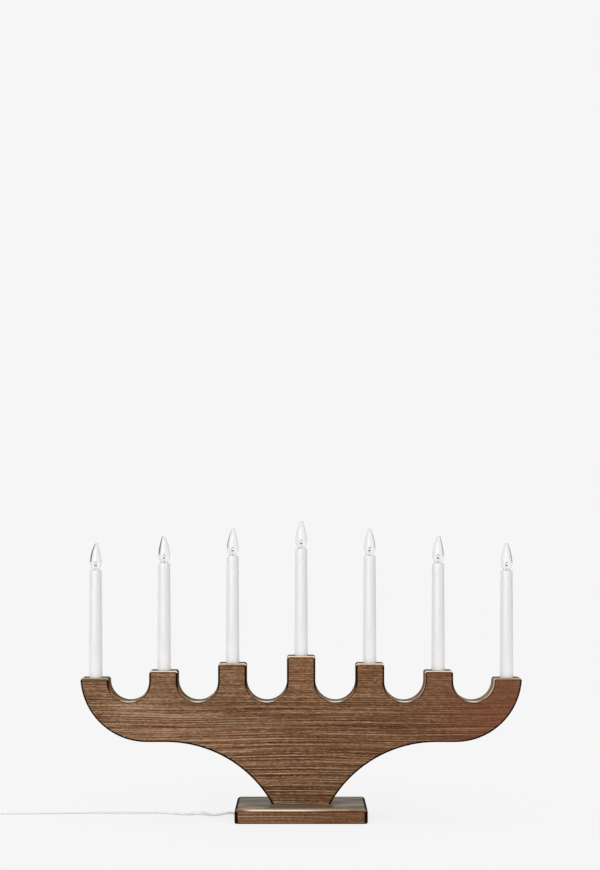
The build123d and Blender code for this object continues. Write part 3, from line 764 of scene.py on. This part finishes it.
# Flame bulbs: blown glass whose blunt tip leans, a bead and filament inside, a threaded cap
bulb = {
    "neck": 4.3,
    "neckDepth": 6.0,
    "wall": 0.6,
    "belly": 7.15,
    "bellyHeight": 9.2,
    "shoulderArc": 13.0,
    "bellyArc": 22.0,
    "bellyTurn": 6.0,  # degrees of the belly's own arc, above its widest place
    "flameArc": 75.0,
    "crown": 32.6,
    "crownRound": 1.7,
    "lean": 0.9,
    "leanFrom": 15.0,
    "tipTurns": (15, 200, 340, 60, 90, 10, 270),
    "steps": 64,
    "bead": 6.1,
    "beadRadius": 0.95,
    "leadSpread": 1.3,
    "leadRadius": 0.16,
    "filamentFoot": 9.2,
    "filamentPeak": 10.3,
    "filamentTurns": 12,
    "coilRadius": 0.26,
    "coilWire": 0.085,
    "mountTurns": (20, 325, 10, 0, 28, 340, 34),
    "threadPitch": 1.814,
    "threadRoot": 4.28,
    "threadCrest": 4.72,
    "threadFoot": 8.4,  # below the sleeve's rim
}


def glassProfile(inset, steps):
    # arcs from the neck to the belly, the flame's long taper and the rounded crown, radius and height
    middle, turn = bulb["bellyHeight"], radians(bulb["bellyTurn"])
    crown, top = bulb["crown"] - 2 * inset, bulb["crownRound"] - inset
    shoulder, belly, flame = bulb["shoulderArc"] - inset, bulb["bellyArc"] - inset, bulb["flameArc"] - inset
    shoulderX, bellyX = bulb["belly"] - bulb["shoulderArc"], bulb["belly"] - bulb["bellyArc"]
    flameX = bellyX - (flame - belly) * cos(turn)
    flameZ = middle - (flame - belly) * sin(turn)
    lowTurn = -degrees(acos((bulb["neck"] - inset - shoulderX) / shoulder))
    topTurn = asin((crown - top - flameZ) / (flame - top))
    topX = flameX + (flame - top) * cos(topTurn)
    profile = arcProfile((shoulderX, middle), shoulder, lowTurn, 0, steps)
    profile += arcProfile((bellyX, middle), belly, 0, bulb["bellyTurn"], steps // 3)[1:]
    profile += arcProfile((flameX, flameZ), flame, bulb["bellyTurn"], degrees(topTurn), steps * 2)[1:]
    return profile + arcProfile((topX, crown - top), top, degrees(topTurn), 90, steps)[1:] + [(0.0, crown)]


def makeGlass(number, x, rim):
    neck, wall = bulb["neck"], bulb["wall"]
    outer = [(neck, -bulb["neckDepth"])] + glassProfile(0, 9)
    inner = [(neck - wall, -bulb["neckDepth"])] + glassProfile(wall, 9)
    bm = bmesh.new()
    spinProfile(bm, outer[::-1] + inner[:1], bulb["steps"])
    spinProfile(bm, inner, bulb["steps"], finish=1)
    turn = radians(bulb["tipTurns"][number - 1])
    for vert in bm.verts:
        share = max(vert.co.z / mm - bulb["leanFrom"], 0) / (bulb["crown"] - bulb["leanFrom"])
        vert.co.x += bulb["lean"] * share ** 2 * cos(turn) * mm
        vert.co.y += bulb["lean"] * share ** 2 * sin(turn) * mm
    piece = keepPiece(bm, f"flame_glass_{number}", ["clearGlass", "innerGlass"], f"bulb_{number}",
                      60, (x, 0, rim))
    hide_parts(f"bulb_glass_{number}")


def makeFilament(number, x, rim):
    bm = bmesh.new()
    spread, radius, bead = bulb["leadSpread"], bulb["leadRadius"], bulb["bead"]
    foot, peak = bulb["filamentFoot"], bulb["filamentPeak"]
    # pinched stem glass with the two leads through it, and a bead that holds them apart
    stem = [(0.0, -5.9), (3.6, -5.9), (3.6, -4.6), (2.4, -3.6), (1.5, -1.8), (1.2, 0.4), (0.7, 1.0),
            (0.0, 1.1)]
    spinProfile(bm, stem, 24, finish=3)
    lay = Matrix.Rotation(radians(90), 4, "Y") @ Matrix.Diagonal((0.85, 0.85, 1.75, 1))
    ball = arcProfile((0, 0), bulb["beadRadius"], -90, 90, 8)
    spinProfile(bm, ball, 20, place=(0, 0, bead * mm), turn=lay, finish=1)
    lead = [(0.55, -2.0), (0.6, 0.5), (0.95, 2.8), (spread, bead - 1.4), (spread, bead + 1.0), (spread, foot)]
    clamp = [(0.0, -0.55), (0.3, -0.55), (0.38, -0.3), (0.38, 0.3), (0.3, 0.55), (0.0, 0.55)]
    for side in (-1, 1):
        addStrand(bm, [(side * out, 0, up) for out, up in lead], radius, 6, finish=2)
        spinProfile(bm, clamp, 12, place=(side * spread * mm, 0, foot * mm))
    # coiled filament in a low bow between the leads
    coil = []
    count = bulb["filamentTurns"] * 10
    for step in range(count + 1):
        share = step / count
        along = spread * (2 * share - 1)
        lift = foot + (peak - foot) * sin(pi * share)
        angle = 2 * pi * bulb["filamentTurns"] * share
        coil.append((along, bulb["coilRadius"] * cos(angle), lift + bulb["coilRadius"] * sin(angle)))
    addStrand(bm, coil, bulb["coilWire"], 2, 1)
    turn = Matrix.Rotation(radians(bulb["mountTurns"][number - 1]), 4, "Z")
    bmesh.ops.transform(bm, matrix=turn, verts=bm.verts)
    piece = keepPiece(bm, f"lamp_mount_{number}", ["filamentWire", "mountBead", "leadWire", "stemGlass"],
                      f"bulb_{number}", 50, (x, 0, rim))
    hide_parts(f"filament_{number}")


def makeCap(number, x, rim):
    bm = bmesh.new()
    # knuckle thread: one pitch of wave carried up a helix, then joined turn to turn
    pitch, root, crest = bulb["threadPitch"], bulb["threadRoot"], bulb["threadCrest"]
    middle, swell = (root + crest) / 2, (crest - root) / 2
    wave = [(middle - swell * cos(2 * pi * step / 8), pitch * step / 8) for step in range(9)]
    verts = [bm.verts.new((r * mm, 0, (z - bulb["threadFoot"]) * mm)) for r, z in wave]
    edges = [bm.edges.new(pair) for pair in zip(verts, verts[1:])]
    turns, stepsPerTurn = 3, 36
    bmesh.ops.spin(bm, geom=verts + edges, axis=(0, 0, 1), cent=(0, 0, 0), angle=2 * pi * turns,
                   steps=turns * stepsPerTurn, dvec=(0, 0, pitch / stepsPerTurn * mm), use_merge=False)
    bmesh.ops.remove_doubles(bm, verts=bm.verts, dist=2 * weld)
    # plain collar above the thread, and the tapered end below it with its black glass
    collar = [(3.9, -2.4), (4.5, -2.4), (4.62, -2.1), (4.62, -1.25), (4.5, -1.0), (4.36, -1.0), (4.36, -1.5),
              (3.9, -1.6)]
    taper = [(3.9, -6.4), (4.5, -6.4), (4.6, -6.8), (4.5, -7.6), (4.2, -8.1), (3.5, -8.75), (3.3, -8.75),
             (3.6, -8.0)]
    blackGlass = [(2.1, -8.1), (3.45, -8.1), (3.45, -8.7), (3.1, -8.98), (2.35, -9.0), (2.1, -8.9)]
    spinProfile(bm, collar, 48, closed=True)
    spinProfile(bm, taper, 48, closed=True)
    spinProfile(bm, blackGlass, 40, closed=True, finish=1)
    piece = keepPiece(bm, f"screw_cap_{number}", ["capMetal", "capGlass"], f"bulb_{number}",
                      40, (x, 0, rim))
    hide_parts(f"bulb_cap_{number}")
    bm = bmesh.new()
    button = [(0.0, -8.0), (1.95, -8.0), (1.95, -9.25), (2.6, -9.35), (2.75, -9.5), (2.5, -9.75),
              (1.6, -9.95), (0.0, -10.0)]
    spinProfile(bm, button, 32, place=(x, 0, rim))
    piece = keepPiece(bm, f"solder_button_{number}", ["solder"], f"bulb_{number}_contact",
                      50)
    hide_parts(f"bulb_contact_{number}")


for number in range(1, candleCount + 1):
    lampX, rimHeight = lampPlace(number)
    makeSleeve(number, lampX, rimHeight)
    makeGlass(number, lampX, rimHeight)
    makeFilament(number, lampX, rimHeight)
    makeCap(number, lampX, rimHeight)
print("candles and bulbs made")

# Series wiring: a thin strand from each lamp to the next along the groove, and the feed and return
wiring = {
    "radius": 0.8,
    "spread": 1.6,
    "holderDrop": 15.5,  # where a strand meets its holder, below the sleeve's rim
    "groove": 130.3,
    "lift": 20.0,
    "lean": 16.0,
    "feedY": 5.25,
    "feedX": 0.85,
    "split": 122.3,
    "bend": 5.0,
}


def riserPoints(number, shift, laneY):
    # corners of a strand from a holder down through its post to the groove
    lampX, rimHeight = lampPlace(number)
    middle, top = lampX / mm, rimHeight / mm - wiring["holderDrop"]
    x = middle + shift
    if 1 < number < candleCount:
        return [(x, 0.0, top), (x, 0.0, wiring["groove"])]
    inward = wiring["lean"] * (-1 if middle > 0 else 1)
    return [(x, 0.0, top), (x, 0.0, wiring["groove"] + wiring["lift"] + wiring["spread"]),
            (x + inward, laneY, wiring["groove"])]


def softCorners(points):
    # spline points that stay on the straight runs and round each corner
    soft = [Vector(points[0])]
    for before, corner, after in zip(points, points[1:], points[2:]):
        corner = Vector(corner)
        for end in (Vector(before), Vector(after)):
            reach = min(wiring["bend"], (end - corner).length * 0.45)
            soft.append(corner + (end - corner).normalized() * reach)
        soft.insert(-1, corner)
    return soft + [Vector(points[-1])]


def makeWiring():
    bm = bmesh.new()
    routes = []
    for side, number in ((-1, 1), (1, candleCount)):
        x, y = side * wiring["feedX"], wiring["feedY"]
        split = [(x, y, wiring["split"]), (x, y, wiring["groove"])]
        routes.append(split + riserPoints(number, side * wiring["spread"], y)[::-1])
    for number in range(1, candleCount):
        onward = riserPoints(number + 1, -wiring["spread"], 0.0)[::-1]
        routes.append(riserPoints(number, wiring["spread"], 0.0) + onward)
    for route in routes:
        addStrand(bm, softCorners(route), wiring["radius"], 6, 2)
    piece = keepPiece(bm, "series_wires", ["wirePvc"], "stand", 50)
    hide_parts("link_wires")


# Wood screws: countersunk heads with a cross recess, a thread and a point
screw = {
    "crossReach": 0.62,  # shares of the head's radius
    "crossWidth": 0.20,
    "crossDepth": 0.55,
    "crossFoot": 0.45,
    "threadPitch": 0.62,  # shares of the shank's diameter
    "threadCut": 0.22,
    "plainShare": 0.35,
    "point": 1.6,
    "steps": 32,
}
coverScrews = {
    "head": 2.5,
    "shank": 1.25,
    "length": 12.0,
    "tilt": -90,  # degrees
    "spins": (23, 67),  # degrees: the first recess, and on from each screw to the next
    "places": [(-206.0, 14.0, 123.9), (-41.2, 14.0, 123.9), (123.6, 14.0, 123.9), (206.0, 14.0, 123.9),
               (6.4, 14.0, 36.5), (-6.4, 14.0, 92.0)],
}
baseScrews = {"head": 4.5, "shank": 2.0, "length": 45.0, "tilt": 180, "spins": (12, 50),
              "places": [(-20.0, -7.0, 0.0), (20.0, -7.0, 0.0)]}


def addScrew(bm, kind, spin, place):
    # head flat at the origin facing up, shank below, then tilted and put in place
    head, shank, length = kind["head"], kind["shank"], kind["length"]
    steps = screw["steps"]
    known = set(bm.verts)
    rim = [bm.verts.new((head * cos(2 * pi * step / steps) * mm, head * sin(2 * pi * step / steps) * mm, 0))
           for step in range(steps)]
    reach, width = head * screw["crossReach"], head * screw["crossWidth"] / 2
    outline = ((reach, -width, 0), (reach, width, 0), (width, width, 0))
    corners = []
    for arm in range(4):
        swing = Matrix.Rotation(pi / 2 * arm, 3, "Z")
        corners += [swing @ Vector(corner) for corner in outline]
    cross = [bm.verts.new(corner * mm) for corner in corners]
    loops = [bm.edges.new(pair) for ring in (rim, cross) for pair in zip(ring, ring[1:] + ring[:1])]
    bmesh.ops.triangle_fill(bm, edges=loops, use_beauty=True)
    sink = bmesh.ops.extrude_edge_only(bm, edges=loops[steps:])
    for vert in only(bmesh.types.BMVert, sink["geom"]):
        vert.co = vert.co * screw["crossFoot"] - Vector((0, 0, head * screw["crossDepth"] * mm))
    bmesh.ops.contextual_create(bm, geom=only(bmesh.types.BMEdge, sink["geom"]))
    # countersink, plain shank, then thread rings to the point
    profile = [(head, 0.0), (head, -0.12), (shank, shank - head - 0.12)]
    low, point = screw["plainShare"] * length, length - screw["point"] * shank
    profile.append((shank, -low))
    pitch, root = screw["threadPitch"] * 2 * shank, shank * (1 - screw["threadCut"])
    threadRing = ((root, 0.25), (root, 0.70), (shank, 0.95))  # radius, share of the pitch
    while low + pitch < point:
        profile += [(radius, -low - pitch * share) for radius, share in threadRing]
        low += pitch
    spinProfile(bm, profile + [(root, -point), (0.0, -length)], steps)
    made = [vert for vert in bm.verts if vert not in known]
    turn = Matrix.Rotation(radians(kind["tilt"]), 4, "X") @ Matrix.Rotation(radians(spin), 4, "Z")
    bmesh.ops.transform(bm, matrix=turn, verts=made)
    bmesh.ops.translate(bm, verts=made, vec=[side * mm for side in place])


def screwSet(kind):
    bm = bmesh.new()
    first, onward = kind["spins"]
    for index, place in enumerate(kind["places"]):
        addScrew(bm, kind, first + onward * index, place)
    return bm


def makeScrews():
    piece = keepPiece(screwSet(coverScrews), "strip_screws", ["screwSteel"], "stand", 35)
    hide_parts("cover_screws")
    piece = keepPiece(screwSet(baseScrews), "foot_screws", ["screwSteel"], "stand", 35)
    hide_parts("base_screws")


makeWiring()
makeScrews()
print("wiring and screws made")

# CAD nodes that keep their own shape get their finish
nodeFinishes = {
    "arch_board": "boardPine",
    "base_plate": "plankPine",
    "crossbar_cover": "stripPine",
    "stem_cover": "stripPineUp",
    "thread_shells": "brassShell",
    "spring_contacts": "brassSpring",
    "cord_bush": "bushPlastic",
    "cord_clip": "bushPlastic",
}
nodeFinishes.update({f"lamp_holder_{number}": "holderPlastic" for number in range(1, candleCount + 1)})
for node, finishName in nodeFinishes.items():
    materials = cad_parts[node].data.materials
    materials.clear()
    materials.append(finishes[finishName])
print("nodes finished")

# Studio: pale floor and background, soft lights, camera level with the lamps
studio = {
    "background": 0.9216,
    "shadowShare": 0.15,
    "shadowReach": (0.10, 0.42),  # metres from the stand: the floor keeps shadows inside this
    "floorBounce": 0.45,
    "worldLight": 0.53,
    "rightDark": 0.25,  # how bright the sides look in gloss and glass
    "leftDark": 0.55,
    "floorSize": 9.0,
}


def rayKind(flow, name):
    return flow.node("ShaderNodeLightPath", output=f"Is {name} Ray")


def shineRay(flow):
    return flow.maths("MAXIMUM", rayKind(flow, "Glossy"), rayKind(flow, "Transmission"))


def makeFloor():
    bm = bmesh.new()
    bmesh.ops.create_grid(bm, x_segments=4, y_segments=4, size=studio["floorSize"] / 2)
    mesh = bpy.data.meshes.new("floor")
    bm.to_mesh(mesh)
    bm.free()
    floor = linked("floor", mesh)
    finish, flow, place = startFinish("floorPale")
    pale = (studio["background"],) * 3 + (1,)
    glow = flow.node("ShaderNodeEmission", None, {"Color": pale, "Strength": 1.0})
    matt = flow.node("ShaderNodeBsdfDiffuse", None, {"Color": pale})
    plain = flow.node("ShaderNodeBsdfDiffuse", None, {"Color": (studio["floorBounce"],) * 3 + (1,)})
    away = flow.vector("LENGTH", place, output="Value")
    kept = (1 - away.between(*studio["shadowReach"])) * studio["shadowShare"]
    shown = kept.shaders(glow, matt)
    seen = flow.maths("MAXIMUM", rayKind(flow, "Camera"), shineRay(flow))
    flow.node("ShaderNodeOutputMaterial", None, {"Surface": seen.shaders(plain, shown)})
    mesh.materials.append(finish)


def backdrop(flow, colour):
    return flow.node("ShaderNodeBackground", None, {"Color": colour, "Strength": 1.0})


def makeWorld():
    world = bpy.data.worlds.new("studioWorld")
    world.use_nodes = True
    world.node_tree.nodes.clear()
    flow = Flow(world.node_tree)
    light = studio["worldLight"]
    level = studio["background"]
    sideways = flow.node("ShaderNodeTexCoord", output="Generated").part(0)
    sides = sideways.between(0.35, 0.90).mix((level,) * 3, (studio["rightDark"],) * 3)
    sides = (0 - sideways).between(0.45, 0.95).mix(sides, (studio["leftDark"],) * 3)
    dim = backdrop(flow, (light, light, light, 1))
    pale = backdrop(flow, (level, level, level, 1))
    shine = backdrop(flow, sides)
    unseen = shineRay(flow).shaders(dim, shine)
    both = rayKind(flow, "Camera").shaders(unseen, pale)
    flow.node("ShaderNodeOutputWorld", None, {"Surface": both})
    scene.world = world


def makeLight(name, place, width, height, power, aim=(0, 0, 0.2), shine=False):
    lamp = bpy.data.lights.new(name, "AREA")
    lamp.shape = "RECTANGLE"
    lamp.size = width
    lamp.size_y = height
    lamp.energy = power
    light = linked(name, lamp)
    light.location = place
    light.rotation_euler = (Vector(aim) - Vector(place)).to_track_quat("-Z", "Y").to_euler()
    light.visible_camera = False
    light.visible_glossy = shine  # only the key light is seen in gloss and glass
    light.visible_transmission = shine


makeFloor()
makeWorld()
makeLight("keyLight", (-0.95, -2.1, 0.78), 1.5, 2.0, 20.5, (0, 0, 0.25), True)
makeLight("leftLight", (-2.2, -0.9, 1.0), 1.0, 1.6, 11)
makeLight("rightLight", (1.6, -1.9, 1.0), 1.0, 1.6, 18)
makeLight("topLight", (0.0, 0.1, 2.4), 1.6, 1.2, 14)
makeLight("backLight", (0.6, 2.3, 0.9), 1.6, 1.4, 9)

# Camera: level, with the frame raised by shift as in the photograph
view = {
    "place": (0.0, -1.864, 0.338),
    "focal": 1548.8,  # pixels
    "centre": (301.15, 536.4),  # pixels: where the level line of sight meets the picture
    "width": 600,
    "height": 870,
    "sensor": 24.0,
}
cameraData = bpy.data.cameras.new("photoCamera")
cameraData.sensor_fit = "VERTICAL"
cameraData.sensor_height = view["sensor"]
cameraData.lens = view["focal"] / view["height"] * view["sensor"]
cameraData.shift_x = (view["width"] / 2 - view["centre"][0]) / view["height"]
cameraData.shift_y = (view["centre"][1] - view["height"] / 2) / view["height"]
cameraData.clip_end = 50.0
camera = linked("photoCamera", cameraData)
camera.location = view["place"]
camera.rotation_euler = (radians(90), 0, 0)
scene.camera = camera
scene.view_settings.view_transform = "Standard"
print("studio made")
